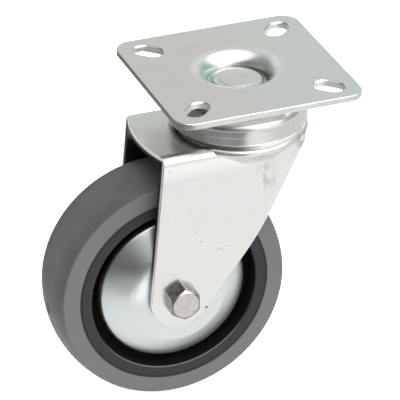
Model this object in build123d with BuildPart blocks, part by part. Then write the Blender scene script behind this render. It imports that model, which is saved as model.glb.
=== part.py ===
"""Light-duty swivel castor: pressed top plate, double ball-race swivel head,
bent sheet fork and a 75 mm wheel on two small ball bearings.

Millimetres.  The origin is on the swivel axis, in the plate's mounting face.
+Z points up into the thing the castor carries, the wheel trails towards -X,
and the axle runs along Y with the bolt's head at -Y and its nut at +Y.
"""

import os
from math import sqrt

from build123d import *

# ---------------------------------------------------------------- dimensions
# Mounting plate
plate_side = 59.5
plate_t = 2.0
plate_corner_r = 5.5
plate_edge_r = 0.3
slot_pitch = 42.0  # between slot centres, along X and along Y
slot_length = 9.4
slot_width = 5.8
slot_lip_r = 0.85  # rolled edge round each slot, on the mounting face
dish_mouth_d = 21.4
dish_floor_d = 18.0
dish_depth = 5.0
dish_shoulder_r = 5.0
dish_floor_r = 1.2

# King pin: a rivet whose head lies in the dish
pin_head_d = 15.3
pin_head_t = 1.6
pin_pad_d = 11.3  # flat pad raised on the head
pin_pad_h = 0.16
pin_shank_d = 11.0
pin_neck_d = 9.0  # below the shoulder that carries the lower race
pin_peen_d = 14.0
pin_peen_t = 2.0

# Upper race cup, clamped between the dish and the upper balls
cup_d = 42.8
cup_t = 1.7
cup_h = 8.5
cup_band_h = 2.45  # reduced band round the foot of the skirt
cup_band_step = 0.3
cup_edge_r = 0.2

# Swivel balls
upper_ball_d = 6.0
upper_ball_count = 16
lower_ball_d = 4.76
lower_ball_count = 12
lower_pitch_d = 20.0
ball_play = 0.08
race_sink = 0.8  # how deep the lower balls sit in each track

# Lower race washer
lower_race_d = 29.0
lower_race_t = 2.4

# Fork: one sheet, crown and two legs
fork_w = 33.4
fork_t = 2.5
fork_bend_r = 0.4  # inside the bends
swivel_gap = 1.7  # crown to the foot of the cup
crown_front = 30.0  # swivel axis to the front edge
crown_bow = 2.7  # how far that edge bulges at its middle
crown_bow_end = 1.0  # outer face of the legs to where the bulge starts in the fold
crown_bow_drop = 2.5  # the bulge runs out down the legs over this height
crown_flat = 2.5  # between the raised boss and the crown's round rim
crown_edge_r = 1.4
crown_skirt = 4.0  # depth of the rim where it is free, behind the legs
flare_start = 1.8  # below the crown, where the rim draws in to each leg
flare_edge_r = 0.5
flare_h = 6.6
flare_turn = 0.7  # the draw turns down this far outside the leg's face
flare_sink = 0.4  # and ends this far inside it
boss_h = 4.7
boss_gap = 0.9  # boss to the inside of the cup
boss_foot_r = 0.5
boss_hollow_gap = 0.3  # lower balls to the wall round them
pin_hole_d = 12.8
leg_rear = 16.4  # swivel axis to the rear edge, at the crown
leg_knee_back = 25.8  # axle to the knee of the rear edge
leg_knee_up = 18.2
leg_knee_r = 80.0
leg_end_r = 9.6
leg_edge_r = 0.35

# Where the wheel hangs
trail = 25.0
wheel_gap = 8.9  # underside of the crown to the tyre

# Wheel
wheel_d = 75.0
tread_w = 20.9  # between the shoulders
shoulder_drop = 1.8
shoulder_r = 0.7
tyre_t = 7.45
rim_w = 21.4
rim_wall = 3.4
rim_edge_r = 0.5
rim_key_w = 8.0  # ridge that the tyre is moulded over
rim_key_h = 1.3
web_t = 6.0
web_root_r = 1.5
rib_count = 8
rib_t = 1.8
hub_wall = 2.2
hub_gap = 0.8  # how far each bearing stands out of the hub

# Thread guards
guard_t = 0.8
guard_gap = 3.1  # rim's bore to the guard
guard_flat_d = 29.0
guard_crease_r = 6.0
guard_edge_r = 1.6
guard_depth = 7.2
guard_lip = 1.6
guard_rib_gap = 1.6
guard_pad_h = 0.3  # raised ring at the centre that bears on the bearing's inner ring

# Wheel bearings
bearing_d = 22.0
bearing_bore = 8.0
bearing_w = 7.0
bearing_land = 2.1  # each ring's thickness beside its track
bearing_edge_r = 0.3
bearing_stop = 1.5  # shoulder inside the hub
bearing_ball_d = 3.97
bearing_ball_count = 7
bearing_play = 0.04
cage_t = 1.2
cage_back = 0.65  # the cage's solid ring beside the balls
cage_w = 3.4

# Axle
bolt_d = 6.0
bolt_head_af = 9.0
bolt_head_h = 4.1
bolt_chamfer_d = 8.2
chamfer_run = sqrt(3)  # of the corners of head and nut, for each unit of rise
bolt_tip = 1.2
bolt_tip_r = 0.6
nut_af = 10.0
nut_hex_h = 4.8
nut_collar_h = 1.6
nut_collar_d = 9.2
insert_t = 0.9
insert_h = 1.1
sleeve_play = 0.1
spacer_wall = 1.6

# -------------------------------------------------------- worked-out places
dish_reach = dish_mouth_d / 2 + dish_shoulder_r
dish_bottom = -(dish_depth + plate_t)
slot_circle_r = slot_pitch / sqrt(2)
pin_head_z = -dish_depth + pin_head_t

upper_groove_r = upper_ball_d / 2 + ball_play
upper_pitch_r = cup_d / 2 - cup_t - upper_groove_r
upper_ball_z = dish_bottom - cup_t - upper_groove_r
cup_foot = dish_bottom - cup_h

crown_z = cup_foot - swivel_gap
crown_under = crown_z - fork_t
boss_r = cup_d / 2 - cup_t - boss_gap
boss_z = crown_z + boss_h
crown_r = boss_r + crown_flat
leg_in = fork_w / 2 - fork_t
flare_z = crown_z - flare_start
flare_foot = flare_z - flare_h
flare_turn_r = fork_w / 2 + flare_turn
flare_end_r = fork_w / 2 - flare_sink
track_under = upper_ball_z - upper_groove_r - fork_t
boss_under = boss_z - fork_t

lower_groove_r = lower_ball_d / 2 + ball_play
lower_pitch_r = lower_pitch_d / 2
lower_ball_z = boss_under - lower_ball_d / 2 + race_sink
lower_race_z = lower_ball_z - lower_ball_d / 2 + race_sink
pin_seat_z = lower_race_z - lower_race_t
pin_foot_z = pin_seat_z - pin_peen_t

wheel_r = wheel_d / 2
axle_z = crown_under - wheel_gap - wheel_r
leg_foot = axle_z - leg_end_r
leg_knee = (leg_knee_back - trail, axle_z + leg_knee_up)
shoulder_radius = wheel_r - shoulder_drop
rim_r = wheel_r - tyre_t
rim_bore_r = rim_r - rim_wall
guard_r = rim_bore_r - guard_gap
guard_rim_y = leg_in - guard_depth
bearing_face = leg_in - guard_t - guard_pad_h
bearing_back = bearing_face - bearing_w
bearing_mid = bearing_face - bearing_w / 2
bearing_pitch_r = (bearing_d + bearing_bore) / 4
bearing_track_r = bearing_ball_d / 2 + bearing_play
hub_r = bearing_d / 2 + hub_wall
rib_top = guard_rim_y - guard_rib_gap

axle_point = (-trail, 0, axle_z)
axle_axis = Axis(axle_point, (0, 1, 0))
# The wheel's mid plane, seen from the bolt's head
wheel_plane = Plane(origin=axle_point, x_dir=(1, 0, 0), z_dir=(0, -1, 0))
# Half planes through the axle, one for each side of the wheel:
# local x is the radius and local y runs outward along the axle
sides = {
    "bolt_side": Plane(origin=axle_point, x_dir=(1, 0, 0), z_dir=(0, 0, -1)),
    "nut_side": Plane(origin=axle_point, x_dir=(1, 0, 0), z_dir=(0, 0, 1)),
}

os.makedirs("parts", exist_ok=True)


def finish(piece, name):
    """Label a finished piece and write its own file."""
    piece.part.label = name
    export_step(piece.part, f"parts/{name}.step")


def corner(sketch, x, y):
    """The corner of a sketch that lies nearest to a place in its own plane."""
    return sketch.vertices().sort_by_distance((x, y))[0]


# --------------------------------------------------------------- swivel head
with BuildPart() as top_plate:
    with BuildSketch():
        RectangleRounded(plate_side, plate_side, plate_corner_r)
        Circle(dish_reach, mode=Mode.SUBTRACT)
    extrude(amount=-plate_t)
    plate_faces = top_plate.faces().filter_by(Axis.Z)
    fillet([edge for face in plate_faces for edge in face.outer_wire().edges()], plate_edge_r)
    with BuildSketch(Plane.XZ):
        with BuildLine():
            FilletPolyline(
                (dish_reach, 0),
                (dish_mouth_d / 2, 0),
                (dish_floor_d / 2, -dish_depth),
                (pin_shank_d / 2, -dish_depth),
                radius=[dish_shoulder_r, dish_floor_r],
            )
            offset(amount=plate_t, side=Side.LEFT)
        make_face()
    revolve(axis=Axis.Z)
    with BuildSketch():
        with PolarLocations(slot_circle_r, 4, start_angle=45):
            SlotOverall(slot_length, slot_width)
    extrude(amount=-plate_t, mode=Mode.SUBTRACT)
    fillet(top_plate.edges(Select.LAST).group_by(Axis.Z)[-1], slot_lip_r)
finish(top_plate, "top_plate")

# The rivet: head in the dish, shank, shoulder for the lower race, peened foot
with BuildPart() as king_pin:
    with BuildSketch(Plane.XZ) as pin_section:
        Polygon(
            (0, pin_head_z + pin_pad_h),
            (pin_pad_d / 2 - pin_pad_h, pin_head_z + pin_pad_h),
            (pin_pad_d / 2, pin_head_z),
            (pin_head_d / 2, pin_head_z),
            (pin_head_d / 2, -dish_depth),
            (pin_shank_d / 2, -dish_depth),
            (pin_shank_d / 2, lower_race_z),
            (pin_neck_d / 2, lower_race_z),
            (pin_neck_d / 2, pin_seat_z),
            (pin_peen_d / 2, pin_seat_z),
            (pin_peen_d / 2, pin_foot_z),
            (0, pin_foot_z),
            align=None,
        )
        fillet(corner(pin_section, pin_head_d / 2, pin_head_z), pin_head_t * 0.35)
        fillet(corner(pin_section, pin_peen_d / 2, pin_foot_z), pin_peen_t * 0.6)
    revolve(axis=Axis.Z)
finish(king_pin, "king_pin")

with BuildPart() as upper_race_cup:
    with BuildSketch(Plane.XZ):
        with BuildLine():
            FilletPolyline(
                (pin_shank_d / 2, dish_bottom),
                (cup_d / 2, dish_bottom),
                (cup_d / 2, cup_foot),
                radius=upper_groove_r + cup_t,
            )
            offset(amount=cup_t, side=Side.RIGHT)
        make_face()
        with Locations((cup_d / 2, cup_foot)):
            Rectangle(cup_band_step, cup_band_h, align=(Align.MAX, Align.MIN), mode=Mode.SUBTRACT)
    revolve(axis=Axis.Z)
    skirt_rims = upper_race_cup.edges().filter_by(GeomType.CIRCLE).group_by(Axis.Z)
    fillet(skirt_rims[0] + skirt_rims[1].sort_by(SortBy.LENGTH)[-1:], cup_edge_r)
finish(upper_race_cup, "upper_race_cup")

with BuildPart(Plane.XY.offset(upper_ball_z)) as upper_balls:
    with PolarLocations(upper_pitch_r, upper_ball_count):
        Sphere(upper_ball_d / 2)
finish(upper_balls, "upper_balls")

with BuildPart(Plane.XY.offset(lower_ball_z)) as lower_balls:
    with PolarLocations(lower_pitch_r, lower_ball_count):
        Sphere(lower_ball_d / 2)
finish(lower_balls, "lower_balls")

with BuildPart() as lower_race:
    with BuildSketch(Plane.XZ) as race_section:
        with Locations((pin_neck_d / 2, lower_race_z)):
            Rectangle((lower_race_d - pin_neck_d) / 2, lower_race_t, align=(Align.MIN, Align.MAX))
        fillet(corner(race_section, lower_race_d / 2, lower_race_z), lower_race_t / 4)
        fillet(corner(race_section, lower_race_d / 2, pin_seat_z), lower_race_t / 4)
        with Locations((lower_pitch_r, lower_ball_z)):
            Circle(lower_groove_r, mode=Mode.SUBTRACT)
    revolve(axis=Axis.Z)
finish(lower_race, "lower_race")

# ---------------------------------------------------------------------- fork
# Side view of a leg: round end, straight front, kneed rear
with BuildSketch(Plane.XZ) as leg_side:
    with Locations((-trail, axle_z)):
        Circle(leg_end_r)
    Polygon((-crown_front, crown_z), leg_knee, (leg_rear, crown_z), align=None)
    make_hull()
    fillet(corner(leg_side, *leg_knee), leg_knee_r)

# Everything lower than the crown's free rim, apart from what the legs fill
with BuildPart() as below_rim:
    with BuildSketch(Plane.XY.offset(crown_z - crown_skirt)):
        Rectangle(3 * crown_r, 3 * crown_r)
    extrude(amount=-flare_h - crown_skirt)
    extrude(leg_side.sketch, amount=2 * crown_r, both=True, mode=Mode.SUBTRACT)
    with BuildSketch(Plane.XY.offset(crown_z - crown_skirt)):
        Rectangle(3 * crown_r, 2 * leg_in)
    extrude(amount=-flare_h - crown_skirt)

# Round crown: its rim turns down, and over each leg draws in to the leg's flat
with BuildPart() as crown_disc:
    with BuildSketch(Plane.XZ) as disc_section:
        with BuildLine():
            Polyline((flare_end_r, flare_foot), (0, flare_foot), (0, crown_z), (crown_r, crown_z))
            Line((crown_r, crown_z), (crown_r, flare_z))
            Bezier((crown_r, flare_z), (flare_turn_r, (flare_z + flare_foot) / 2), (flare_end_r, flare_foot))
        make_face()
        fillet(corner(disc_section, crown_r, crown_z), crown_edge_r)
        fillet(corner(disc_section, crown_r, flare_z), flare_edge_r)
    revolve(axis=Axis.Z)
    add(below_rim, mode=Mode.SUBTRACT)

# The hollow under it
with BuildPart() as crown_hollow:
    with BuildSketch(Plane.XZ):
        Polygon(
            (0, crown_under),
            (crown_r - fork_t, crown_under),
            (crown_r - fork_t, flare_z - fork_t / 2),
            (leg_in, flare_foot - fork_t / 2),
            (0, flare_foot - fork_t / 2),
            align=None,
        )
    revolve(axis=Axis.Z)

# Cross-section of the folded sheet: an inverted U
with BuildSketch(Plane.YZ) as sheet_section:
    with BuildLine():
        FilletPolyline(
            (-fork_w / 2, leg_foot),
            (-fork_w / 2, crown_z),
            (fork_w / 2, crown_z),
            (fork_w / 2, leg_foot),
            radius=fork_bend_r + fork_t,
        )
        offset(amount=fork_t, side=Side.RIGHT)
    make_face()

# The crown's front edge bulges, and the bulge runs out in the folds
bow_root = -crown_front + fork_t
with BuildPart() as front_bow:
    extrude(sheet_section.sketch, amount=trail + crown_front, both=True)
    with BuildSketch(Plane.XZ):
        Polygon(
            (bow_root, crown_z),
            (-crown_front - crown_bow, crown_z),
            (-crown_front - crown_bow, crown_under),
            (-crown_front, crown_under - crown_bow_drop),
            (bow_root, crown_under - crown_bow_drop),
            align=None,
        )
    extrude(amount=fork_w, both=True, mode=Mode.INTERSECT)
    with BuildSketch(Plane.XY.offset(crown_z)):
        with BuildLine():
            bow_half = fork_w / 2 - crown_bow_end
            ThreePointArc(
                (-crown_front, -bow_half), (-crown_front - crown_bow, 0), (-crown_front, bow_half)
            )
            Polyline(
                (-crown_front, bow_half),
                (bow_root, bow_half),
                (bow_root, -bow_half),
                (-crown_front, -bow_half),
            )
        make_face()
    extrude(amount=-fork_t - crown_bow_drop, mode=Mode.INTERSECT)

with BuildPart() as fork:
    # The sheet, run out to both sides and then trimmed
    extrude(sheet_section.sketch, amount=trail + crown_front, both=True)
    extrude(leg_side.sketch, amount=fork_w, both=True, mode=Mode.INTERSECT)
    leg_flats = fork.faces().filter_by(Axis.Y).group_by(Axis.Y)
    leg_edges = (leg_flats[0] + leg_flats[-1]).edges().filter_by(Axis.X, reverse=True)
    fillet(leg_edges, leg_edge_r)
    add(crown_disc)
    add(crown_hollow, mode=Mode.SUBTRACT)
    with BuildSketch(Plane.XY.offset(crown_under)):
        Rectangle(2 * crown_r, 2 * leg_in, align=(Align.MAX, Align.CENTER))
    extrude(amount=-flare_h - crown_skirt, mode=Mode.SUBTRACT)
    add(front_bow)
    # Raised boss that carries the tracks of both rings of balls
    with BuildSketch(Plane.XZ) as boss_section:
        Polygon(
            (0, crown_under),
            (boss_r + boss_foot_r, crown_under),
            (boss_r + boss_foot_r, crown_z),
            (boss_r, crown_z),
            (boss_r, boss_z),
            (0, boss_z),
            align=None,
        )
        fillet(corner(boss_section, boss_r, crown_z), 0.9 * boss_foot_r)
    revolve(axis=Axis.Z)
    with BuildSketch(Plane.XZ):
        with Locations((0, crown_under)):
            Rectangle(boss_r - fork_t, track_under - crown_under, align=Align.MIN)
            Rectangle(
                lower_pitch_r + lower_ball_d / 2 + boss_hollow_gap,
                boss_under - crown_under,
                align=Align.MIN,
            )
            Rectangle(pin_hole_d / 2, boss_z - crown_under, align=Align.MIN)
        with Locations((upper_pitch_r, upper_ball_z)):
            Circle(upper_groove_r)
        with Locations((lower_pitch_r, lower_ball_z)):
            Circle(lower_groove_r)
    revolve(axis=Axis.Z, mode=Mode.SUBTRACT)
    # Hole for the axle bolt through both legs
    with BuildSketch(wheel_plane):
        Circle(bolt_d / 2 + sleeve_play)
    extrude(amount=fork_w, both=True, mode=Mode.SUBTRACT)
finish(fork, "fork")

# ---------------------------------------------------------------------- axle
with BuildPart() as axle_bolt:
    with BuildSketch(wheel_plane.offset(fork_w / 2)):
        RegularPolygon(bolt_head_af / 2, 6, major_radius=False, rotation=30)
    extrude(amount=bolt_head_h)
    # Chamfer of the head: what is outside a flat cone is cut away
    with BuildSketch(sides["bolt_side"]):
        Polygon(
            (0, fork_w / 2),
            (bolt_chamfer_d / 2 + bolt_head_h * chamfer_run, fork_w / 2),
            (bolt_chamfer_d / 2, fork_w / 2 + bolt_head_h),
            (0, fork_w / 2 + bolt_head_h),
            align=None,
        )
    revolve(axis=axle_axis, mode=Mode.INTERSECT)
    with BuildSketch(wheel_plane.offset(fork_w / 2)):
        Circle(bolt_d / 2)
    extrude(amount=-(fork_w + nut_hex_h + nut_collar_h + bolt_tip))
    chamfer(axle_bolt.edges().group_by(Axis.Y)[-1], bolt_tip_r)
finish(axle_bolt, "axle_bolt")

nut_top = fork_w / 2 + nut_hex_h
with BuildPart() as axle_nut:
    with BuildSketch(wheel_plane.offset(-fork_w / 2)):
        RegularPolygon(nut_af / 2, 6, major_radius=False, rotation=30)
    extrude(amount=-nut_hex_h)
    with BuildSketch(sides["nut_side"]):
        Polygon(
            (0, fork_w / 2),
            (nut_collar_d / 2 + nut_hex_h * chamfer_run, fork_w / 2),
            (nut_collar_d / 2, nut_top),
            (0, nut_top),
            align=None,
        )
    revolve(axis=axle_axis, mode=Mode.INTERSECT)
    # Collar rolled over the locking insert, and the bore through both
    with BuildSketch(sides["nut_side"]) as collar_section:
        with Locations((0, nut_top)):
            Rectangle(nut_collar_d / 2, nut_collar_h, align=Align.MIN)
        fillet(corner(collar_section, nut_collar_d / 2, nut_top + nut_collar_h), nut_collar_h * 0.4)
    revolve(axis=axle_axis)
    with BuildSketch(sides["nut_side"]):
        with Locations((0, fork_w / 2)):
            Rectangle(bolt_d / 2, nut_hex_h + nut_collar_h, align=Align.MIN)
        with Locations((0, nut_top + nut_collar_h - insert_h)):
            Rectangle(bolt_d / 2 + insert_t, insert_h, align=Align.MIN)
    revolve(axis=axle_axis, mode=Mode.SUBTRACT)
finish(axle_nut, "axle_nut")

with BuildPart() as nut_insert:
    with BuildSketch(sides["nut_side"]):
        with Locations((bolt_d / 2, nut_top + nut_collar_h - insert_h)):
            Rectangle(insert_t, insert_h, align=Align.MIN)
    revolve(axis=axle_axis)
finish(nut_insert, "nut_insert")

with BuildPart() as axle_sleeve:
    with BuildSketch(wheel_plane):
        Circle(bearing_bore / 2)
        Circle(bolt_d / 2 + sleeve_play, mode=Mode.SUBTRACT)
    extrude(amount=leg_in, both=True)
finish(axle_sleeve, "axle_sleeve")

# Keeps the two inner rings apart when the bolt is pulled tight
with BuildPart() as ring_spacer:
    with BuildSketch(wheel_plane):
        Circle(bearing_bore / 2 + sleeve_play + spacer_wall)
        Circle(bearing_bore / 2 + sleeve_play, mode=Mode.SUBTRACT)
    extrude(amount=bearing_back, both=True)
finish(ring_spacer, "ring_spacer")

# --------------------------------------------------------------------- wheel
# Ribs stiffen the web on both faces and fall away from the hub to the rim
with BuildPart() as web_ribs:
    with BuildSketch(sides["nut_side"]):
        Polygon(
            (hub_r - hub_wall / 2, -rib_top),
            (hub_r, -rib_top),
            (rim_bore_r + rim_wall / 2, -web_t / 2),
            (rim_bore_r + rim_wall / 2, web_t / 2),
            (hub_r, rib_top),
            (hub_r - hub_wall / 2, rib_top),
            align=None,
        )
    revolve(axis=axle_axis)
    with BuildSketch(wheel_plane):
        with PolarLocations((hub_r + rim_bore_r) / 2, rib_count):
            Rectangle(rim_bore_r + rim_wall - hub_r, rib_t)
    extrude(amount=rib_top, both=True, mode=Mode.INTERSECT)

with BuildPart() as wheel_core:
    with BuildSketch(sides["nut_side"]) as core_section:
        Polygon(
            (bearing_d / 2 - bearing_stop, 0),
            (bearing_d / 2 - bearing_stop, bearing_back),
            (bearing_d / 2, bearing_back),
            (bearing_d / 2, bearing_face - hub_gap),
            (hub_r, bearing_face - hub_gap),
            (hub_r, web_t / 2),
            (rim_bore_r, web_t / 2),
            (rim_bore_r, rim_w / 2),
            (rim_r, rim_w / 2),
            (rim_r, rim_key_w / 2),
            (rim_r + rim_key_h, rim_key_w / 2 - rim_key_h),
            (rim_r + rim_key_h, 0),
            align=None,
        )
        fillet([corner(core_section, r, web_t / 2) for r in (hub_r, rim_bore_r)], web_root_r)
        fillet(corner(core_section, rim_bore_r, rim_w / 2), rim_edge_r)
    revolve(axis=axle_axis)
    mirror(about=Plane.XZ)
    add(web_ribs)
finish(wheel_core, "wheel_core")

with BuildPart() as tyre:
    with BuildSketch(sides["nut_side"]) as tyre_section:
        with BuildLine():
            ThreePointArc(
                (shoulder_radius, -tread_w / 2), (wheel_r, 0), (shoulder_radius, tread_w / 2)
            )
            Polyline(
                (shoulder_radius, tread_w / 2),
                (rim_r, rim_w / 2),
                (rim_r, rim_key_w / 2),
                (rim_r + rim_key_h, rim_key_w / 2 - rim_key_h),
                (rim_r + rim_key_h, -rim_key_w / 2 + rim_key_h),
                (rim_r, -rim_key_w / 2),
                (rim_r, -rim_w / 2),
                (shoulder_radius, -tread_w / 2),
            )
        make_face()
        shoulders = [corner(tyre_section, shoulder_radius, y) for y in (-tread_w / 2, tread_w / 2)]
        fillet(shoulders, shoulder_r)
    revolve(axis=axle_axis)
finish(tyre, "tyre")

# -------------------------------------------- bearings and guards, both sides
for side, half_plane in sides.items():
    ball_plane = wheel_plane.offset(bearing_mid if side == "bolt_side" else -bearing_mid)

    with BuildPart() as outer_ring:
        with BuildSketch(half_plane) as ring_section:
            with Locations((bearing_d / 2, bearing_mid)):
                Rectangle(bearing_land, bearing_w, align=(Align.MAX, Align.CENTER))
            fillet(ring_section.vertices().group_by(Axis.X)[-1], bearing_edge_r)
            with Locations((bearing_pitch_r, bearing_mid)):
                Circle(bearing_track_r, mode=Mode.SUBTRACT)
        revolve(axis=axle_axis)
    finish(outer_ring, f"bearing_outer_{side}")

    with BuildPart() as inner_ring:
        with BuildSketch(half_plane) as ring_section:
            with Locations((bearing_bore / 2, bearing_mid)):
                Rectangle(bearing_land, bearing_w, align=(Align.MIN, Align.CENTER))
            fillet(ring_section.vertices().group_by(Axis.X)[0], bearing_edge_r)
            with Locations((bearing_pitch_r, bearing_mid)):
                Circle(bearing_track_r, mode=Mode.SUBTRACT)
        revolve(axis=axle_axis)
    finish(inner_ring, f"bearing_inner_{side}")

    with BuildPart(ball_plane) as bearing_balls:
        with PolarLocations(bearing_pitch_r, bearing_ball_count):
            Sphere(bearing_ball_d / 2)
    finish(bearing_balls, f"bearing_balls_{side}")

    # Crown cage: a ring beside the balls with fingers that reach between them
    with BuildPart(ball_plane) as bearing_cage:
        with BuildSketch(half_plane):
            with Locations((bearing_pitch_r, bearing_mid + bearing_ball_d / 2 + cage_back)):
                Rectangle(cage_t, cage_w, align=(Align.CENTER, Align.MAX))
        revolve(axis=axle_axis)
        with PolarLocations(bearing_pitch_r, bearing_ball_count):
            Sphere(bearing_track_r, mode=Mode.SUBTRACT)
    finish(bearing_cage, f"bearing_cage_{side}")

    with BuildPart() as thread_guard:
        with BuildSketch(half_plane):
            with BuildLine():
                FilletPolyline(
                    (bearing_bore / 2, leg_in),
                    (guard_flat_d / 2, leg_in),
                    (guard_r, guard_rim_y + guard_lip),
                    (guard_r, guard_rim_y),
                    radius=[guard_crease_r, guard_edge_r],
                )
                offset(amount=guard_t, side=Side.RIGHT)
            make_face()
            with Locations((bearing_bore / 2, bearing_face)):
                Rectangle(bearing_land, guard_pad_h, align=Align.MIN)
        revolve(axis=axle_axis)
    finish(thread_guard, f"thread_guard_{side}")
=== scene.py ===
"""Looks of a swivel castor: bright zinc plate, head and fork, grey rubber tyre
on a dark plastic wheel, in a plain white studio.

Lengths are metres in the castor's own frame: the origin is on the swivel axis
in the plate's mounting face, +Z is up and the wheel trails towards -X.
A tint is a colour and how strongly it lies on the finish below. Where a finish
changes is a pair of numbers, where the change starts and where it ends: a place
in most, the way that the surface faces where the name ends in TILT, and the
value of a noise for drifts, clouds, blotches and scuffs.
"""

from math import cos, pi, radians, sin

import bpy
from mathutils import Matrix, Vector


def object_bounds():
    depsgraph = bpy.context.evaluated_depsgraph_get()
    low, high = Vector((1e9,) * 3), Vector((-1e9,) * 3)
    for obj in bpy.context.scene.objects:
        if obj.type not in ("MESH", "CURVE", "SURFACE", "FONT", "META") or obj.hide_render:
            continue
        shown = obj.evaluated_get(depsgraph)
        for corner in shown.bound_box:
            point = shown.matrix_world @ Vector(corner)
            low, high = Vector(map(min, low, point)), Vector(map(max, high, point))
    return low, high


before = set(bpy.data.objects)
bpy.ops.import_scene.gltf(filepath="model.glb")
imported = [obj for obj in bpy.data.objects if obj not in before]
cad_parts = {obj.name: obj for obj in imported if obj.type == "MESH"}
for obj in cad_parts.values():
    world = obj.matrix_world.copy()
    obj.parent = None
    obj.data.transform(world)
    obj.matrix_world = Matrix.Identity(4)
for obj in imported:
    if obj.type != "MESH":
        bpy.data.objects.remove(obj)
cad_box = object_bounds()

AXLE = (-0.025, -0.0661)  # x and z of the axle's axis

BLACK = (0.0, 0.0, 0.0)
WHITE = (1.0, 1.0, 1.0)
EDGE_GREY = (0.33, 0.33, 0.32)
EDGE_DARK = (0.035, 0.035, 0.035)
CORE_DEEP = (0.004, 0.004, 0.005)
# A pale grey for dust on the tread and for a painted highlight on the wheel core
DUST_AND_HIGHLIGHT = (0.17, 0.168, 0.155)
NOISE_MIDDLE = 0.5

# ---------------------------------------------------------------- camera
CAMERA_AZIMUTH = radians(-20.66)
CAMERA_ELEVATION = radians(28.63)
CAMERA_ROLL = radians(-0.46)
CAMERA_DISTANCE = 1.0214
CAMERA_LENS = 305.6
CAMERA_NEAR = 0.05
CAMERA_AIM = (-0.01134, -0.03969)  # across and up the view, from the origin

# ---------------------------------------------------------------- studio
FLOOR_SIZE = 6.0
FLOOR_WHITE = (0.85, 0.85, 0.85)
FLOOR_GLOW = 1.0  # the floor gives off light, so that it stays white
FLOOR_SHEEN = 0.1
FLOOR_ROUGH = 0.9
WALL_GLOW = 0.45
# Soft patches of light and dark on the studio's walls and roof:
# direction, radius in degrees, softness in degrees, what it adds to the glow
STUDIO_PATCHES = [
    ((0.22, -0.42, 0.86), 42.0, 14.0, 2.3),
    ((0.45, -0.90, 0.10), 24.0, 12.0, 0.60),
    ((0.44, 0.84, 0.32), 28.0, 10.0, 0.30),
    ((-0.15, 0.82, 0.50), 12.0, 8.0, 0.40),
    ((-1.0, 0.10, 0.45), 52.0, 18.0, -0.20),
    ((-0.45, -0.90, 0.10), 34.0, 14.0, -0.22),
]
# Glowing sheet on the floor that only reflections see: white under the castor,
# dark to the left and front left, greyer behind and to the right
SHEET_RADIUS = 1.5
SHEET_SEGMENTS = 24
SHEET_LIFT = 0.0002
SHEET_GLOW = 1.36
SHEET_WHITE = (0.82, 0.82, 0.82)
SHEET_DARK = (0.19, 0.19, 0.19)
SHEET_BACK_GREY = (0.5, 0.5, 0.5)
SHEET_RIGHT_GREY = (0.62, 0.62, 0.62)
SHEET_LEFT = (0.098, 0.114)
SHEET_LEFT_SLANT = 0.35
SHEET_FRONT = (0.105, 0.135)
SHEET_FRONT_END = (0.0, 0.03)
SHEET_FRONT_SLANT = 0.08
SHEET_RIGHT = (0.07, 0.14)
SHEET_BACK = (0.07, 0.14)


class Wire:
    """A socket in a node tree; arithmetic on it adds Math nodes."""

    def __init__(self, nodes, socket):
        self.nodes = nodes
        self.socket = socket

    def __add__(self, other):
        return self.nodes.math("ADD", self, other)

    def __radd__(self, other):
        return self.nodes.math("ADD", other, self)

    def __sub__(self, other):
        return self.nodes.math("SUBTRACT", self, other)

    def __rsub__(self, other):
        return self.nodes.math("SUBTRACT", other, self)

    def __mul__(self, other):
        return self.nodes.math("MULTIPLY", self, other)

    def __rmul__(self, other):
        return self.nodes.math("MULTIPLY", other, self)

    def __truediv__(self, other):
        return self.nodes.math("DIVIDE", self, other)

    def __rtruediv__(self, other):
        return self.nodes.math("DIVIDE", other, self)

    def __neg__(self):
        return self.nodes.math("MULTIPLY", self, -1.0)

    def __abs__(self):
        return self.nodes.math("ABSOLUTE", self)


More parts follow.
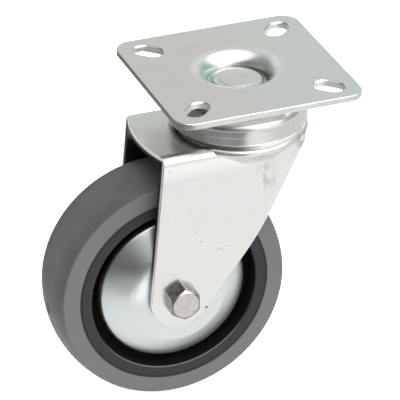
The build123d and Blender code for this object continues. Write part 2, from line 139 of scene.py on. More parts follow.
class Nodes:
    """The node tree of one finish."""

    def __init__(self, tree):
        self.tree = tree
        tree.nodes.clear()

    def add(self, kind, sockets=None, output=0, **settings):
        """Add a node: settings first, then the values or links of its sockets."""
        node = self.tree.nodes.new(kind)
        for name, value in settings.items():
            setattr(node, name, value)
        for name, value in (sockets or {}).items():
            socket = node.inputs[name]
            if isinstance(value, Wire):
                self.tree.links.new(value.socket, socket)
            elif socket.type == "RGBA":
                socket.default_value = (*value, 1.0)
            else:
                socket.default_value = value
        return Wire(self, node.outputs[output]) if node.outputs else None

    def math(self, operation, *values):
        return self.add("ShaderNodeMath", dict(enumerate(values)), operation=operation)

    def either(self, first, second):
        """The larger of two values."""
        return self.math("MAXIMUM", first, second)

    def reach(self, across, along):
        """How far a point lies from an axis."""
        return self.math("SQRT", across * across + along * along)

    def step(self, value, low, high):
        """0 below low, 1 above high, smooth between."""
        sockets = {"Value": value, "From Min": low, "From Max": high}
        return self.add("ShaderNodeMapRange", sockets, interpolation_type="SMOOTHSTEP")

    def fade(self, value, low, high):
        """1 below low, 0 above high, smooth between."""
        return 1.0 - self.step(value, low, high)

    def band(self, value, rise, fall):
        """1 from the end of rise to the start of fall, 0 outside them."""
        return self.step(value, *rise) * self.fade(value, *fall)

    def place(self):
        """Where a point lies on the castor at rest, in metres."""
        return self.add("ShaderNodeTexCoord", output="Object")

    def facing(self):
        """The direction that a point's surface faces, in the castor's own frame."""
        return self.add("ShaderNodeTexCoord", output="Normal")

    def split(self, vector):
        """The x, y and z of a vector."""
        first = self.add("ShaderNodeSeparateXYZ", {"Vector": vector})
        return [Wire(self, socket) for socket in first.socket.node.outputs]

    def from_axle(self, where):
        """How far a point lies from the axle's axis."""
        x, _, z = self.split(where)
        return self.reach(x - AXLE[0], z - AXLE[1])

    def shift(self, where, place):
        """Where a point lies from a place."""
        return self.add("ShaderNodeVectorMath", {0: where, 1: place}, operation="SUBTRACT")

    def stretch(self, where, factors):
        return self.add("ShaderNodeVectorMath", {0: where, 1: factors}, operation="MULTIPLY")

    def length(self, vector):
        return self.add("ShaderNodeVectorMath", {0: vector}, output="Value", operation="LENGTH")

    def spot(self, where, place, inner, outer):
        """1 within inner of a place, 0 beyond outer."""
        return self.fade(self.length(self.shift(where, place)), inner, outer)

    def noise(self, where, scale, detail=3.0, roughness=0.5, distortion=0.0):
        sockets = {
            "Vector": where,
            "Scale": scale,
            "Detail": detail,
            "Roughness": roughness,
            "Distortion": distortion,
        }
        return self.add("ShaderNodeTexNoise", sockets, output="Fac", noise_dimensions="3D")

    def turned(self, radius, scale):
        """Noise in rings round an axis."""
        rings = self.add("ShaderNodeCombineXYZ", {"X": radius})
        return self.noise(rings, scale, detail=2.0)

    def mix(self, amount, first, second):
        """The second colour over the first, by amount."""
        sockets = {0: amount, 6: first, 7: second}
        return self.add("ShaderNodeMix", sockets, output=2, data_type="RGBA")

    def lay(self, mask, colour, tint):
        """A tint over a colour where the mask is 1."""
        shade, strength = tint
        return self.mix(mask * strength, colour, shade)

    def bump(self, height, depth, strength=1.0, under=None):
        """A bump whose height of 0 to 1 stands for depth metres, over another bump."""
        sockets = {"Height": height, "Distance": depth, "Strength": strength}
        if under:
            sockets["Normal"] = under
        return self.add("ShaderNodeBump", sockets, output="Normal")

    def surface(self, skin):
        """The shader, from a dict of its sockets, and the material's output."""
        shader = self.add("ShaderNodeBsdfPrincipled", skin, output="BSDF")
        self.add("ShaderNodeOutputMaterial", {"Surface": shader})


def new_finish(name):
    material = bpy.data.materials.new(name)
    material.use_nodes = True
    return material, Nodes(material.node_tree)


def scaled(colour, factor):
    """A colour times a number or times another colour."""
    factors = factor if isinstance(factor, tuple) else [factor] * 3
    return [part * by for part, by in zip(colour, factors)]


# ----------------------------------------------------------- bright zinc
FILM_TEAL = (0.90, 1.0, 0.97)  # what the film leaves of the zinc's colour
FILM_ROSE = (1.0, 0.955, 0.95)
FILM_STRENGTH = 0.5
TEAL_DRIFT = (0.42, 0.66)
ROSE_CLOUD = (0.55, 0.32)
CLOUD_ROUGH = 0.08
GRAIN_ROUGH = 0.03
GRAIN_DEPTH = 0.0000006
GRAIN_STRENGTH = 0.6
ROLLED_DEPTH = 0.00003


def bright_zinc(name, zinc, rough, wear_and_light=None):
    """Blue-white zinc over rolled sheet: faint rainbow film, soft grain.

    The last argument takes the nodes, the place and the skin, which is a dict of the
    shader's sockets, and changes the skin for wear and for painted light and shade.
    """
    material, nodes = new_finish(name)
    where = nodes.place()
    drift = nodes.noise(where, scale=42.0, detail=2.0)
    cloud = nodes.noise(where, scale=95.0, detail=4.0, roughness=0.6)
    grain = nodes.noise(where, scale=2600.0, detail=2.0)
    teal, rose = scaled(zinc, FILM_TEAL), scaled(zinc, FILM_ROSE)
    colour = nodes.lay(nodes.step(drift, *TEAL_DRIFT), zinc, (teal, FILM_STRENGTH))
    colour = nodes.lay(nodes.step(cloud, *ROSE_CLOUD), colour, (rose, FILM_STRENGTH))
    rolled = nodes.bump(nodes.noise(where, scale=130.0, detail=2.0), ROLLED_DEPTH)
    roughness = rough + (cloud - NOISE_MIDDLE) * CLOUD_ROUGH
    roughness = roughness + (grain - NOISE_MIDDLE) * GRAIN_ROUGH
    skin = {
        "Metallic": 1.0,
        "Base Color": colour,
        "Roughness": roughness,
        "Normal": nodes.bump(grain, GRAIN_DEPTH, GRAIN_STRENGTH, rolled),
    }
    if wear_and_light:
        wear_and_light(nodes, where, skin)
    nodes.surface(skin)
    return material


# -------------------------------------------------- top plate and king pin
# Distances are from the swivel axis
PLATE_ROSE = (0.715, 0.69, 0.66), 0.8
PLATE_GREEN = (0.69, 0.745, 0.70), 0.8
FILM_WANDER = 0.03  # how far the borders of the two films wander
ROSE_SLANT = 0.7
ROSE_REACH = (0.0, 0.035)
GREEN_REACH = (0.012, 0.03)

# Painted light in the dish: a highlight on its rear shoulder, a teal reflection on one side of its
# wall and a dark brown reflection at its foot
DISH_HIGHLIGHT = (0.90, 0.95, 0.93), 0.6
DISH_TEAL_REFLECTION = (0.37, 0.57, 0.49), 0.9
DISH_DARK_REFLECTION = (0.20, 0.19, 0.175), 0.75
DISH_WALL = (0.0072, 0.0080), (0.0092, 0.0135)
DISH_SHOULDER = (0.0095, 0.0110), (0.0125, 0.0155)
DISH_PRESSED = (0.0070, 0.0080), (0.0125, 0.0175)
DISH_REAR = (-0.006, 0.004)
# The side of the dish that a painted reflection lies on, and the cosines at its borders
TEAL_SIDE = (-0.93, 0.36)
TEAL_WEDGE = (0.45, 0.9)
BROWN_SIDE = (0.81, 0.59)
BROWN_WEDGE = (0.35, 0.85)
BROWN_FOOT = (0.0070, 0.0074), (0.0088, 0.0102)

RUB_GREY = (0.46, 0.44, 0.41), 0.35
RUB_PLACE = (-0.0030, 0.0190)
RUB_WIDTH = (0.0002, 0.0014)
RUB_LENGTH = (0.0030, 0.0075)
RUB_PATCHES = (0.35, 0.6)
RUB_GRAIN = (0.3, 1.0, 1.0)

PLATE_SIDES = (0.0291, 0.0294)
PLATE_CORNERS = (0.0532, 0.0538)  # x and y together
EDGE_TILT = (0.3, 0.7)  # of a cut edge, as against the sheet's faces
SLOTS = (0.020, 0.021)
# The slot walls are painted pale, a painted highlight
SLOT_HIGHLIGHT = (0.86, 0.88, 0.85), 0.6
MOTTLE = (0.35, 0.65)
LEFT_END = (0.020, 0.029)
CUT_GREY = 0.08  # of EDGE_GREY on a cut edge, with more in the mottle and at the left
CUT_MOTTLE = 0.15
# The extra grey at the left end is painted shade
CUT_LEFT_SHADE = 0.4

# The pin head's rim is rougher and painted grey as shade over its reflection
PIN_RING = (0.0060, 0.0066)
PIN_RING_TILT = (0.93, 0.995)
PIN_RING_SHADE = EDGE_GREY, 0.45

PIN_RING_ROUGH = 0.35
CUT_ROUGH = 0.15
SLOT_ROUGH = 0.3
PRESSED_ROUGH = 0.10


def plate_wear_and_light(nodes, where, skin):
    """Rosy film on one half and greenish on the other, painted highlight and reflections in the
    dish and slots, dull cut edges with painted shade.
    """
    colour = skin["Base Color"]
    x, y, _ = nodes.split(where)
    reach = nodes.reach(x, y)
    _, _, up = nodes.split(nodes.facing())

    wander = nodes.noise(where, scale=60.0) * FILM_WANDER
    rosy = nodes.step(y * ROSE_SLANT - x + wander, *ROSE_REACH)
    colour = nodes.lay(rosy, colour, PLATE_ROSE)
    green = nodes.step(x + wander, *GREEN_REACH)
    colour = nodes.lay(green, colour, PLATE_GREEN)

    # Painted highlight on the dish's rear shoulder, then painted teal and dark reflections
    dish_highlight = nodes.band(reach, *DISH_SHOULDER) * nodes.step(y, *DISH_REAR)
    colour = nodes.lay(dish_highlight, colour, DISH_HIGHLIGHT)
    wedge = nodes.step((x * TEAL_SIDE[0] + y * TEAL_SIDE[1]) / reach, *TEAL_WEDGE)
    colour = nodes.lay(nodes.band(reach, *DISH_WALL) * wedge, colour, DISH_TEAL_REFLECTION)
    wedge = nodes.step((x * BROWN_SIDE[0] + y * BROWN_SIDE[1]) / reach, *BROWN_WEDGE)
    colour = nodes.lay(nodes.band(reach, *BROWN_FOOT) * wedge, colour, DISH_DARK_REFLECTION)

    across, along = abs(y - RUB_PLACE[1]), abs(x - RUB_PLACE[0])
    rub = nodes.fade(across, *RUB_WIDTH) * nodes.fade(along, *RUB_LENGTH)
    patches = nodes.noise(nodes.stretch(where, RUB_GRAIN), scale=600.0, roughness=0.6)
    colour = nodes.lay(rub * nodes.step(patches, *RUB_PATCHES), colour, RUB_GREY)

    upright = nodes.fade(abs(up), *EDGE_TILT)
    sides = nodes.step(nodes.either(abs(x), abs(y)), *PLATE_SIDES)
    rim = nodes.either(sides, nodes.step(abs(x) + abs(y), *PLATE_CORNERS))
    slot = upright * (1.0 - rim) * nodes.step(reach, *SLOTS)
    cut = rim * upright
    mottle = nodes.step(nodes.noise(where, scale=420.0, detail=2.0), *MOTTLE)
    # Cut edges are grey, more so in a mottle, with painted shade added at the left end
    grey = CUT_GREY + mottle * CUT_MOTTLE + nodes.step(-x, *LEFT_END) * CUT_LEFT_SHADE
    colour = nodes.mix(cut * grey, colour, EDGE_GREY)
    # Painted highlight on the slot walls
    colour = nodes.lay(slot, colour, SLOT_HIGHLIGHT)

    # Painted shade on the pin head's rim, which is also rougher
    ring = nodes.fade(reach, *PIN_RING) * nodes.fade(up, *PIN_RING_TILT)
    skin["Base Color"] = nodes.lay(ring, colour, PIN_RING_SHADE)
    skin["Roughness"] += ring * PIN_RING_ROUGH + cut * CUT_ROUGH + slot * SLOT_ROUGH
    skin["Roughness"] += nodes.band(reach, *DISH_PRESSED) * PRESSED_ROUGH


# -------------------------------------------------------------------- fork
# Places are heights, or distances ahead, behind or aside of the swivel axis
CROWN_GREEN = (0.69, 0.73, 0.675), 0.8
CROWN = (-0.0190, -0.0172)

SHEARED_TILT = (0.4, 0.8)
SHEARED_GREY = 0.2  # of EDGE_GREY on a sheared edge, with more in the mottle
SHEARED_MOTTLE = 0.3
SHEARED_ROUGH = 0.15
LEGS = (0.0232, 0.0242)
FRONT_TILT = (0.2, 0.5)
FRONT = (0.022, 0.024)
# Painted highlight along the outer half of the front edge, where the fork also gets a painted
# glow, and painted shade along its inner half
FRONT_HIGHLIGHT = (0.85, 0.85, 0.83)
FRONT_SHADE = EDGE_DARK, 0.95
FRONT_TOP = (-0.0188, -0.0180)
FRONT_OUTER = (0.0154, 0.0163)
FRONT_FOOT = (0.052, 0.068)
FRONT_FOOT_FADE = 0.5
FRONT_GLOW = 0.85

# Painted shade on the inner faces of the legs, under the crown
INNER_SHADE = EDGE_DARK, 0.85
INNER_FACES = (0.003, 0.010)
INNER_TOP = (-0.062, -0.040)

BEND_TILT = (0.10, 0.35), (0.90, 0.99)
BEND_TOP_TILT = (0.05, 0.2)
BEND_ROUGH = 0.10

WRINKLES = (0.0028, -0.0285)  # x and z of their middle
WRINKLES_SLIM = 0.55
WRINKLES_REACH = (0.0012, 0.0045)
WRINKLES_DEPTH = 0.00035
WRINKLES_GRAIN = (1.0, 0.2, 0.28)
WRINKLES_CREST = (0.5, 0.62)
WRINKLES_GREY = EDGE_GREY, 0.35

# Marks on the outer face of the leg on the bolt's side: place, radius, strength
LEG_MARKS = [
    ((-0.0169, -0.0167, -0.0706), 0.00060, 0.8),
    ((-0.0201, -0.0167, -0.0437), 0.00045, 0.25),
    ((-0.0220, -0.0167, -0.0368), 0.00040, 0.2),
    ((-0.0185, -0.0167, -0.0475), 0.00045, 0.2),
    ((-0.0137, -0.0167, -0.0589), 0.00035, 0.25),
    ((-0.0282, -0.0167, -0.0216), 0.00050, 0.25),
]
MARK_CORE = 0.5  # share of a mark's radius over which it is full
LEG_SCRATCHES = (-0.0111, -0.0167, -0.0511)
SCRATCHES_REACH = (0.0015, 0.0045)
SCRATCHES_STREAKS = (0.55, 0.65)
SCRATCHES_GRAIN = (0.5, 1.0, 1.6)
SCRATCHES_GREY = EDGE_GREY, 0.25

# Painted shade over the highlight at the rear end of each fold, which is also rougher
FOLD_SHADE = (0.42, 0.42, 0.41), 0.8
FOLD_REAR = (0.0115, 0.0140)
FOLD_TOP = (-0.0225, -0.0205)
FOLD_SIDE = (0.0125, 0.0135)
FOLD_ROUGH = 0.2

# Painted glow: light that the fork gives off though it is no lamp
GAP_LIGHT = (0.42, 0.42, 0.40)
GAP_LEVEL = (-0.0176, -0.0172)
GAP_RING = (0.0180, 0.0184), (0.0208, 0.0216)
GAP_SIDE = (0.8, -0.3)
GAP_END = (0.0, 0.008)
FOLD_LIGHT = (0.13, 0.13, 0.125)
FOLD_LIGHT_LEVEL = (-0.0262, -0.0212)
FOLD_LIGHT_TOP = (0.0195, 0.0203)
FOLD_LIGHT_END = (-0.004, 0.004)
FOLD_LIGHT_TILT = (0.85, 0.97)


def fork_wear_and_light(nodes, where, skin):
    """Greenish crown, sheared edges, wrinkles below the rim, marks, painted highlight and shade,
    painted glow.
    """
    colour = skin["Base Color"]
    x, y, z = nodes.split(where)
    ahead, out, up = nodes.split(nodes.facing())
    colour = nodes.lay(nodes.step(z, *CROWN), colour, CROWN_GREEN)

    sheared = nodes.fade(abs(out), *EDGE_TILT) * nodes.fade(up, *SHEARED_TILT)
    front = sheared * nodes.step(-ahead, *FRONT_TILT) * nodes.step(-x, *FRONT)
    mottle = nodes.step(nodes.noise(where, scale=700.0, detail=2.0), *MOTTLE)
    grey = (sheared - front) * nodes.step(-z, *LEGS) * (SHEARED_GREY + mottle * SHEARED_MOTTLE)
    colour = nodes.mix(grey, colour, EDGE_GREY)

    # The front edge has a painted highlight along its outer half and painted shade along its inner
    # one
    outer = nodes.either(nodes.step(z, *FRONT_TOP), nodes.step(abs(y), *FRONT_OUTER))
    dark = front * (1.0 - outer) * (1.0 - nodes.step(-z, *FRONT_FOOT) * FRONT_FOOT_FADE)
    colour = nodes.lay(dark, colour, FRONT_SHADE)
    bright = front * outer
    colour = nodes.mix(bright, colour, FRONT_HIGHLIGHT)

    # Painted shade on the inner faces of the legs at the top, under the crown
    inner = nodes.step(-(out * y), *INNER_FACES) * nodes.step(z, *INNER_TOP)
    colour = nodes.lay(inner, colour, INNER_SHADE)

    # Wrinkles where the sheet was drawn in from the round rim
    behind, below = x - WRINKLES[0], (z - WRINKLES[1]) * WRINKLES_SLIM
    drawn = nodes.fade(nodes.reach(behind, below), *WRINKLES_REACH)
    lengthwise = nodes.stretch(where, WRINKLES_GRAIN)
    folds = nodes.noise(lengthwise, scale=620.0, detail=2.0, roughness=0.55, distortion=0.4)
    skin["Normal"] = nodes.bump(folds * drawn, WRINKLES_DEPTH, under=skin["Normal"])
    colour = nodes.lay(drawn * nodes.step(folds, *WRINKLES_CREST), colour, WRINKLES_GREY)

    for place, radius, strength in LEG_MARKS:
        mark = nodes.spot(where, place, radius * MARK_CORE, radius)
        colour = nodes.lay(mark, colour, (EDGE_DARK, strength))
    scratched = nodes.spot(where, LEG_SCRATCHES, *SCRATCHES_REACH)
    slanting = nodes.stretch(where, SCRATCHES_GRAIN)
    streaks = nodes.noise(slanting, scale=800.0, detail=2.0, roughness=0.6, distortion=1.0)
    scratched = scratched * nodes.step(streaks, *SCRATCHES_STREAKS)
    colour = nodes.lay(scratched, colour, SCRATCHES_GREY)

    # The rear end of each fold is rougher and painted grey as shade over its highlight
    fold = nodes.step(x, *FOLD_REAR) * nodes.step(z, *FOLD_TOP) * nodes.step(abs(y), *FOLD_SIDE)
    skin["Base Color"] = nodes.lay(fold, colour, FOLD_SHADE)
    bend = nodes.band(abs(out), *BEND_TILT) * nodes.step(up, *BEND_TOP_TILT)
    skin["Roughness"] += sheared * SHEARED_ROUGH + bend * BEND_ROUGH + fold * FOLD_ROUGH

    # Painted glow, though the fork is no lamp: between the crown and the foot of the
    # cup, on the front edge, and as a painted highlight below the fold, fading down the leg
    gap = nodes.step(z, *GAP_LEVEL) * nodes.band(nodes.reach(x, y), *GAP_RING)
    gap = gap * nodes.step(x * GAP_SIDE[0] + y * GAP_SIDE[1], *GAP_END)
    painted_glow = nodes.mix(nodes.either(gap, bright * FRONT_GLOW), BLACK, GAP_LIGHT)
    fading = nodes.step(z, *FOLD_LIGHT_LEVEL) * nodes.step(-z, *FOLD_LIGHT_TOP)
    fading = fading * nodes.step(-x, *FOLD_LIGHT_END) * nodes.step(abs(out), *FOLD_LIGHT_TILT)
    skin["Emission Color"] = nodes.mix(fading, painted_glow, FOLD_LIGHT)
    skin["Emission Strength"] = 1.0


# ---------------------------------------------------------- thread guards
# Distances are from the axle's axis, up or towards the front
GUARD_BLUE = (0.61, 0.675, 0.70), 0.7
GUARD_BLUE_REACH = (0.017, 0.0235)
# Painted highlight on the front upper part of the guard
GUARD_HIGHLIGHT = (0.84, 0.89, 0.89), 0.9
GUARD_PALE_UP = (-0.002, 0.004)
GUARD_PALE_AHEAD = (0.003, 0.010)
# Painted shade across the outer upper part of the guard
GUARD_SHADE = (0.20, 0.205, 0.205), 0.75
GUARD_DUSK_SLANT = 0.1
GUARD_DUSK_UP = (0.0070, 0.0135)
GUARD_DUSK_TOP = (0.018, 0.026)
GUARD_DUSK_TOP_FADE = 0.7
GUARD_DUSK_REACH = (0.0105, 0.0125)
GUARD_TURNED_DEPTH = 0.000006


def guard_film_and_light(nodes, where, skin):
    """Bluish film towards the rim, a painted highlight and painted shade on the upper part, faint
    turning marks.
    """
    colour = skin["Base Color"]
    x, _, z = nodes.split(where)
    radius = nodes.from_axle(where)
    ahead, above = AXLE[0] - x, z - AXLE[1]
    colour = nodes.lay(nodes.step(radius, *GUARD_BLUE_REACH), colour, GUARD_BLUE)
    # Painted highlight on the front upper part
    pale = nodes.step(above, *GUARD_PALE_UP) * nodes.step(ahead, *GUARD_PALE_AHEAD)
    colour = nodes.lay(pale, colour, GUARD_HIGHLIGHT)
    # Painted shade across the outer upper part, towards the rim
    guard_shade = nodes.step(above + ahead * GUARD_DUSK_SLANT, *GUARD_DUSK_UP)
    guard_shade = guard_shade * (1.0 - nodes.step(above, *GUARD_DUSK_TOP) * GUARD_DUSK_TOP_FADE)
    guard_shade = guard_shade * nodes.step(radius, *GUARD_DUSK_REACH)
    skin["Base Color"] = nodes.lay(guard_shade, colour, GUARD_SHADE)
    rings = nodes.turned(radius, scale=2400.0)
    skin["Normal"] = nodes.bump(rings, GUARD_TURNED_DEPTH, under=skin["Normal"])


# ----------------------------------------------------------- bolt and nut
BOLT_BROWN = (0.055, 0.047, 0.04)
BOLT_TAN = (0.21, 0.20, 0.175)
BOLT_PALE = (0.66, 0.64, 0.60)
# The flats are painted as lit and shaded copies: pale where they face the rear or downwards, dark
# brown elsewhere
FLATS_TILT = (0.30, 0.45)
SHADE_BLOTCH = 0.5
PALE_BLOTCH = 0.55
PALE_LEAST = 0.2
REAR_TILT = (0.1, 0.4)
LOWER_TILT = (-0.3, 0.0)
# The chamfer is painted darker, as shade, except where it faces up
CHAMFER = (0.00395, 0.0042)
CHAMFER_TOP_TILT = (0.36, 0.46)
CHAMFER_SHADE = BOLT_TAN, 0.9
SCUFF = (0.45, 0.7)
SCUFF_BROWN = BOLT_BROWN, 0.2
SCUFF_ROUGH = 0.12
SCUFF_DEPTH = 0.00003


def bolt_wear_and_light(nodes, where, skin):
    """Flats round the head painted as lit and shaded copies, a chamfer painted darker but for its
    top, a scuffed face.
    """
    colour = skin["Base Color"]
    across, out, up = nodes.split(nodes.facing())
    blotch = nodes.step(nodes.noise(where, scale=650.0, roughness=0.6), *MOTTLE)
    # Painted light and shade on the flats: lit flats pale, the others dark brown
    shaded_flats = nodes.mix(blotch * SHADE_BLOTCH, BOLT_BROWN, BOLT_TAN)
    pale = nodes.mix(blotch * PALE_BLOTCH + PALE_LEAST, BOLT_TAN, BOLT_PALE)
    lit = nodes.either(nodes.step(across, *REAR_TILT), nodes.step(-up, *LOWER_TILT))
    flats = nodes.fade(abs(out), *FLATS_TILT)
    colour = nodes.mix(flats, colour, nodes.mix(lit, shaded_flats, pale))
    # Painted shade on the chamfer, kept off its top
    chamfer = nodes.step(nodes.from_axle(where), *CHAMFER) * (1.0 - flats)
    chamfer = chamfer * nodes.fade(up, *CHAMFER_TOP_TILT)
    colour = nodes.lay(chamfer, colour, CHAMFER_SHADE)
    scuff = nodes.step(nodes.noise(where, scale=900.0, roughness=0.7), *SCUFF)
    skin["Base Color"] = nodes.lay(scuff, colour, SCUFF_BROWN)
    skin["Roughness"] += scuff * SCUFF_ROUGH
    skin["Normal"] = nodes.bump(nodes.noise(where, scale=700.0), SCUFF_DEPTH, under=skin["Normal"])


# ------------------------------------------------------ plastic and rubber
MOULDED_DARKER = 0.93
MOULDED_LIGHTER = 1.07
MOULDED_ROUGH = 0.1


def moulded(name, colour, rough, speck, wear_and_light=None, sheen=0.5):
    """Moulded plastic or rubber with a matt skin, specked to a depth."""
    material, nodes = new_finish(name)
    where = nodes.place()
    cloud = nodes.noise(where, scale=60.0, detail=4.0, roughness=0.6)
    grain = nodes.noise(where, scale=2200.0, detail=2.0)
    skin = {
        "Specular IOR Level": sheen,
        "Base Color": nodes.mix(
            cloud, scaled(colour, MOULDED_DARKER), scaled(colour, MOULDED_LIGHTER)
        ),
        "Roughness": rough + (cloud - NOISE_MIDDLE) * MOULDED_ROUGH,
        "Normal": nodes.bump(grain, speck),
    }
    if wear_and_light:
        wear_and_light(nodes, where, skin)
    nodes.surface(skin)
    return material


# --------------------------------------------------------------- wheel core
LEVEL_TILT = (0.2, 0.5)
# Painted shade: everything inside the rim and not facing sideways is black
CORE_RIM = (0.0262, 0.0267)
CORE_INSIDE_ROUGH = 0.4
CORE_SEAM = (0.0297, 0.0299)
CORE_SEAM_DARK = CORE_DEEP, 0.8
CORE_EDGE = (0.0262, 0.0265), (0.0267, 0.0271)
CORE_EDGE_SIDE = (0.0095, 0.0100)
CORE_EDGE_SHINE = 0.18
# Painted highlight on the rim's inner edge at its foot, which is also glossier
CORE_HIGHLIGHT_FOOT = (0.012, 0.022)
CORE_EDGE_HIGHLIGHT = DUST_AND_HIGHLIGHT, 0.8


def core_seam_and_light(nodes, where, skin):
    """Painted shade, black, inside the rim, a dark seam to the tyre, a painted highlight on the
    rim's inner edge at its foot.
    """
    colour = skin["Base Color"]
    _, y, z = nodes.split(where)
    _, out, _ = nodes.split(nodes.facing())
    radius = nodes.from_axle(where)
    level = nodes.step(abs(out), *LEVEL_TILT)
    # Painted shade, black, inside the rim
    inside_shade = 1.0 - nodes.step(radius, *CORE_RIM) * level
    colour = nodes.mix(inside_shade, colour, CORE_DEEP)
    colour = nodes.lay(nodes.step(radius, *CORE_SEAM), colour, CORE_SEAM_DARK)
    edge = nodes.band(radius, *CORE_EDGE) * level * nodes.step(abs(y), *CORE_EDGE_SIDE)
    # Painted highlight on the rim's inner edge at its foot
    edge_highlight = edge * nodes.step(AXLE[1] - z, *CORE_HIGHLIGHT_FOOT)
    skin["Base Color"] = nodes.lay(edge_highlight, colour, CORE_EDGE_HIGHLIGHT)
    skin["Roughness"] += inside_shade * CORE_INSIDE_ROUGH - edge * CORE_EDGE_SHINE


# --------------------------------------------------------------------- tyre
TYRE_DARK = (0.055, 0.055, 0.053)
TREAD = (0.0352, 0.0360)
TREAD_GRAIN = (1.0, 0.45, 1.0)
TREAD_DUST = DUST_AND_HIGHLIGHT, 0.35
TREAD_DUSTY = (0.52, 0.72)
TREAD_DARK = TYRE_DARK, 0.35
TREAD_WORN = (0.45, 0.30)
SIDE_RINGS_DEPTH = 0.00002
# Painted shade on the tread's rounded corners, by the way they face
CORNER_TILT = (0.08, 0.3), (0.6, 0.85)
TREAD_CORNER_SHADE = TYRE_DARK, 0.45
TYRE_SEAM = (0.0303, 0.0307)
TYRE_SEAM_TILT = (0.3, 0.6)
TYRE_NICKS = [(-0.0621, 0.0, -0.0696), (-0.0619, 0.0, -0.0711)]
NICK_SHAPE = (1.0, 0.55, 1.0)
NICK_REACH = (0.0006, 0.0011)
NICK_DARK = CORE_DEEP, 0.95


def tyre_wear_and_shade(nodes, where, skin):
    """Scuffs from rolling, painted shade on the tread's corners, a dark seam, rings on the sides,
    two nicks.
    """
    colour = skin["Base Color"]
    _, out, _ = nodes.split(nodes.facing())
    radius = nodes.from_axle(where)
    tread = nodes.step(radius, *TREAD)
    rolled = nodes.stretch(where, TREAD_GRAIN)
    scuff = nodes.noise(rolled, scale=210.0, detail=4.0, roughness=0.65)
    colour = nodes.lay(nodes.step(scuff, *TREAD_DUSTY) * tread, colour, TREAD_DUST)
    colour = nodes.lay(nodes.step(scuff, *TREAD_WORN) * tread, colour, TREAD_DARK)
    rings = nodes.turned(radius, scale=1500.0) * (1.0 - tread)
    skin["Normal"] = nodes.bump(rings, SIDE_RINGS_DEPTH, under=skin["Normal"])
    # Painted shade on the rounded corners
    corner = nodes.band(abs(out), *CORNER_TILT) * tread
    colour = nodes.lay(corner, colour, TREAD_CORNER_SHADE)
    seam = nodes.fade(radius, *TYRE_SEAM) * nodes.step(abs(out), *TYRE_SEAM_TILT)
    colour = nodes.mix(seam, colour, CORE_DEEP)
    for place in TYRE_NICKS:
        nick = nodes.length(nodes.stretch(nodes.shift(where, place), NICK_SHAPE))
        colour = nodes.lay(nodes.fade(nick, *NICK_REACH), colour, NICK_DARK)
    skin["Base Color"] = colour


def dress(material, *pieces):
    """Give pieces of the frame a finish."""
    for piece in pieces:
        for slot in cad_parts[piece].material_slots:
            slot.material = material


# ------------------------------------------------------------------- studio
def look_along(azimuth, elevation, roll):
    """The camera's right, up and backward directions."""
    back = Vector(
        (sin(azimuth) * cos(elevation), -cos(azimuth) * cos(elevation), sin(elevation))
    )
    level = Vector((cos(azimuth), sin(azimuth), 0.0))
    upward = back.cross(level)
    right = cos(roll) * level + sin(roll) * upward
    up = cos(roll) * upward - sin(roll) * level
    return right, up, back


def add_camera():
    right, up, back = look_along(CAMERA_AZIMUTH, CAMERA_ELEVATION, CAMERA_ROLL)
    camera = bpy.data.objects.new("camera", bpy.data.cameras.new("camera"))
    camera.data.lens = CAMERA_LENS
    camera.data.clip_start = CAMERA_NEAR
    place = right * CAMERA_AIM[0] + up * CAMERA_AIM[1] + back * CAMERA_DISTANCE
    turn = Matrix((right, up, back)).transposed().to_4x4()
    camera.matrix_world = Matrix.Translation(place) @ turn
    bpy.context.scene.collection.objects.link(camera)
    bpy.context.scene.camera = camera


def add_flat(name, corners, material):
    """A level face of the studio."""
    mesh = bpy.data.meshes.new(name)
    mesh.from_pydata(corners, [], [range(len(corners))])
    mesh.materials.append(material)
    flat = bpy.data.objects.new(name, mesh)
    bpy.context.scene.collection.objects.link(flat)
    return flat


def add_floor():
    material, nodes = new_finish("white_floor")
    nodes.surface(
        {
            "Base Color": FLOOR_WHITE,
            "Roughness": FLOOR_ROUGH,
            "Specular IOR Level": FLOOR_SHEEN,
            "Emission Color": FLOOR_WHITE,
            "Emission Strength": FLOOR_GLOW,
        }
    )
    level, half = cad_box[0].z, FLOOR_SIZE / 2
    ends = [(-half, -half), (half, -half), (half, half), (-half, half)]
    floor = add_flat("floor", [(x, y, level) for x, y in ends], material)


def add_sheet():
    """A disc on the floor, shaded by where a point lies on it."""
    material, nodes = new_finish("grey_sheet")
    x, y, _ = nodes.split(nodes.place())
    left = nodes.step(nodes.either(y, 0.0) * SHEET_LEFT_SLANT - x, *SHEET_LEFT)
    front = nodes.step(-y, *SHEET_FRONT)
    front = front * nodes.step(y * SHEET_FRONT_SLANT - x, *SHEET_FRONT_END)
    shade = nodes.mix(nodes.step(x, *SHEET_RIGHT), SHEET_WHITE, SHEET_RIGHT_GREY)
    shade = nodes.mix(nodes.step(y, *SHEET_BACK), shade, SHEET_BACK_GREY)
    shade = nodes.mix(nodes.either(left, front), shade, SHEET_DARK)
    nodes.surface(
        {
            "Base Color": BLACK,
            "Roughness": 1.0,
            "Specular IOR Level": 0.0,
            "Emission Color": shade,
            "Emission Strength": SHEET_GLOW,
        }
    )
    level = cad_box[0].z + SHEET_LIFT
    turns = [2 * pi * step / SHEET_SEGMENTS for step in range(SHEET_SEGMENTS)]
    edge = [(cos(turn) * SHEET_RADIUS, sin(turn) * SHEET_RADIUS, level) for turn in turns]
    sheet = add_flat("grey_sheet", edge, material)
    sheet.visible_camera = False
    sheet.visible_diffuse = False
    sheet.visible_shadow = False


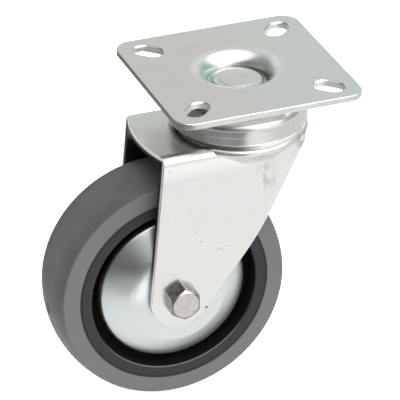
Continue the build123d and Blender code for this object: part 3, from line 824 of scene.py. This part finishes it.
def add_world():
    """Studio walls and roof, lit evenly apart from a few soft patches."""
    world = bpy.data.worlds.new("studio")
    bpy.context.scene.world = world
    world.use_nodes = True
    nodes = Nodes(world.node_tree)
    direction = nodes.add("ShaderNodeTexCoord", output="Generated")
    glow = WALL_GLOW
    for centre, radius, softness, gain in STUDIO_PATCHES:
        nearness = nodes.add(
            "ShaderNodeVectorMath",
            {0: direction, 1: Vector(centre).normalized()},
            output="Value",
            operation="DOT_PRODUCT",
        )
        outer, inner = radians(radius + softness), radians(max(radius - softness, 0.0))
        glow = glow + nodes.step(nearness, cos(outer), cos(inner)) * gain
    sockets = {"Color": WHITE, "Strength": nodes.either(glow, 0.0)}
    background = nodes.add("ShaderNodeBackground", sockets)
    nodes.add("ShaderNodeOutputWorld", {"Surface": background})


zinc_plate = bright_zinc("zinc_plate", (0.715, 0.735, 0.705), rough=0.22, wear_and_light=plate_wear_and_light)
zinc_fork = bright_zinc("zinc_fork", (0.715, 0.71, 0.69), rough=0.22, wear_and_light=fork_wear_and_light)
zinc_cup = bright_zinc("zinc_cup", (0.68, 0.68, 0.655), rough=0.24)
zinc_guard = bright_zinc("zinc_guard", (0.655, 0.68, 0.67), rough=0.32, wear_and_light=guard_film_and_light)
bolt_steel = bright_zinc("bolt_steel", (0.58, 0.55, 0.515), rough=0.34, wear_and_light=bolt_wear_and_light)
ball_steel = bright_zinc("ball_steel", (0.78, 0.78, 0.79), rough=0.08)
tyre_rubber = moulded(
    "tyre_rubber", (0.108, 0.108, 0.102), rough=0.55, speck=0.00001, wear_and_light=tyre_wear_and_shade
)
core_plastic = moulded(
    "core_plastic", (0.025, 0.025, 0.026), rough=0.42, speck=0.000006, wear_and_light=core_seam_and_light, sheen=0.2
)
nylon = moulded("nylon", (0.7, 0.68, 0.6), rough=0.5, speck=0.000004)

dress(zinc_plate, "top_plate", "king_pin")
dress(zinc_cup, "upper_race_cup", "lower_race")
dress(zinc_fork, "fork")
dress(bolt_steel, "axle_bolt", "axle_nut", "axle_sleeve", "ring_spacer")
dress(ball_steel, "upper_balls", "lower_balls")
dress(core_plastic, "wheel_core")
dress(tyre_rubber, "tyre")
dress(nylon, "nut_insert")
for side in ("bolt_side", "nut_side"):
    dress(zinc_guard, f"thread_guard_{side}")
    dress(ball_steel, f"bearing_outer_{side}", f"bearing_inner_{side}", f"bearing_balls_{side}")
    dress(nylon, f"bearing_cage_{side}")

add_floor()
add_sheet()
add_camera()
add_world()
bpy.context.scene.view_settings.view_transform = "Standard"
